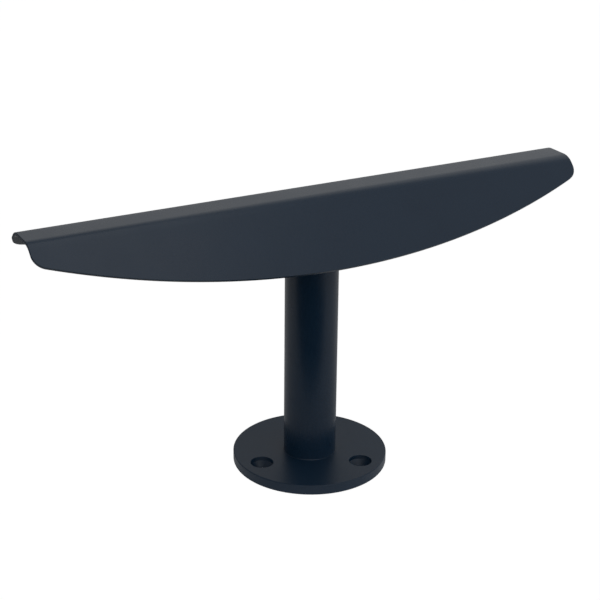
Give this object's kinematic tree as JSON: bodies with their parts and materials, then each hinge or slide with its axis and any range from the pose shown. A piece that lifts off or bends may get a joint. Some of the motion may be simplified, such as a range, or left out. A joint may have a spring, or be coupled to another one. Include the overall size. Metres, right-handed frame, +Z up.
{
  "type": "pool handrail",
  "caption": "Deck-mounted pool handrail: folded sheet saddle rail with crescent flanks on a round post and a round bolt-down base flange.",
  "frame": {"origin": "centre of the base flange's underside, on the deck", "axes": "+X along the rail, +Y across it, +Z up along the post"},
  "size_m": [0.556, 0.15, 0.277],
  "materials": {
    "powder_coat": "satin blue-black powder coat over welded steel"
  },
  "bodies": {
    "root": {"rail_shell": "powder_coat", "post_tube": "powder_coat", "base_flange": "powder_coat", "rail_weld": "powder_coat", "foot_weld": "powder_coat", "socket_weld": "powder_coat"}
  },
  "joints": []
}
